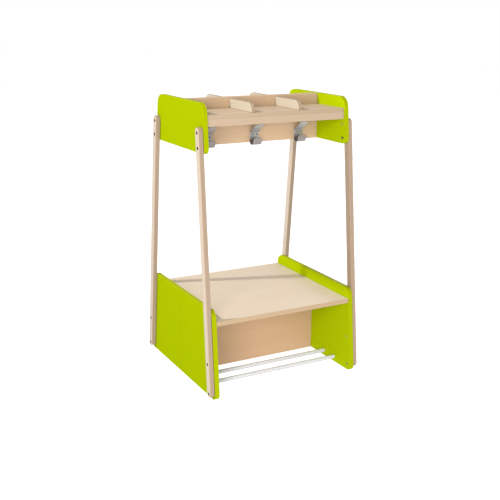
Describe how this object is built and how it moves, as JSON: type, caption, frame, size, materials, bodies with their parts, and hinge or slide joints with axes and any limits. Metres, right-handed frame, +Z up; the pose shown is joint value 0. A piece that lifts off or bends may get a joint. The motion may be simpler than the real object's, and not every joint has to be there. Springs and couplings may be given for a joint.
{
  "type": "coat rack with bench",
  "caption": "Low double-sided cloakroom stand on slanted legs, with a bench and shoe rails below and divided hat shelves and double coat hooks above.",
  "frame": {"origin": "on the floor, under the middle of the bench", "axes": "+X along the bench to the right as seen from the pictured side, +Y through its depth away from that side, +Z up"},
  "size_m": [0.66, 0.6224, 1.1],
  "materials": {
    "green_panel": "lime green laminate on board, satin",
    "leg_wood": "clear satin varnish",
    "seat_wood": "clear satin varnish",
    "birch_board": "clear satin varnish",
    "zinc": "zinc-plated, matt",
    "dark_steel": "dark plated",
    "painted_tube": "pale grey powder coat"
  },
  "bodies": {
    "root": {"panel_upper_left": "green_panel", "panel_lower_left": "green_panel", "leg_front_left": "leg_wood", "bolt_front_left_1": "dark_steel", "bolt_front_left_2": "dark_steel", "bolt_front_left_3": "dark_steel", "bolt_front_left_4": "dark_steel", "leg_back_left": "leg_wood", "bolt_back_left_1": "dark_steel", "bolt_back_left_2": "dark_steel", "bolt_back_left_3": "dark_steel", "bolt_back_left_4": "dark_steel", "panel_upper_right": "green_panel", "panel_lower_right": "green_panel", "leg_front_right": "leg_wood", "bolt_front_right_1": "dark_steel", "bolt_front_right_2": "dark_steel", "bolt_front_right_3": "dark_steel", "bolt_front_right_4": "dark_steel", "leg_back_right": "leg_wood", "bolt_back_right_1": "dark_steel", "bolt_back_right_2": "dark_steel", "bolt_back_right_3": "dark_steel", "bolt_back_right_4": "dark_steel", "seat": "seat_wood", "spine_front": "birch_board", "shelf_front": "birch_board", "apron_front": "birch_board", "divider_front_left": "birch_board", "divider_front_right": "birch_board", "seat_board_front": "birch_board", "shoe_rail_front_inner": "painted_tube", "shoe_rail_front_outer": "painted_tube", "hook_front_left": "zinc", "screw_front_left_left": "zinc", "screw_front_left_right": "zinc", "hook_front_middle": "zinc", "screw_front_middle_left": "zinc", "screw_front_middle_right": "zinc", "hook_front_right": "zinc", "screw_front_right_left": "zinc", "screw_front_right_right": "zinc", "spine_back": "birch_board", "shelf_back": "birch_board", "apron_back": "birch_board", "divider_back_left": "birch_board", "divider_back_right": "birch_board", "seat_board_back": "birch_board", "shoe_rail_back_inner": "painted_tube", "shoe_rail_back_outer": "painted_tube", "hook_back_left": "zinc", "screw_back_left_left": "zinc", "screw_back_left_right": "zinc", "hook_back_middle": "zinc", "screw_back_middle_left": "zinc", "screw_back_middle_right": "zinc", "hook_back_right": "zinc", "screw_back_right_left": "zinc", "screw_back_right_right": "zinc"}
  },
  "joints": []
}
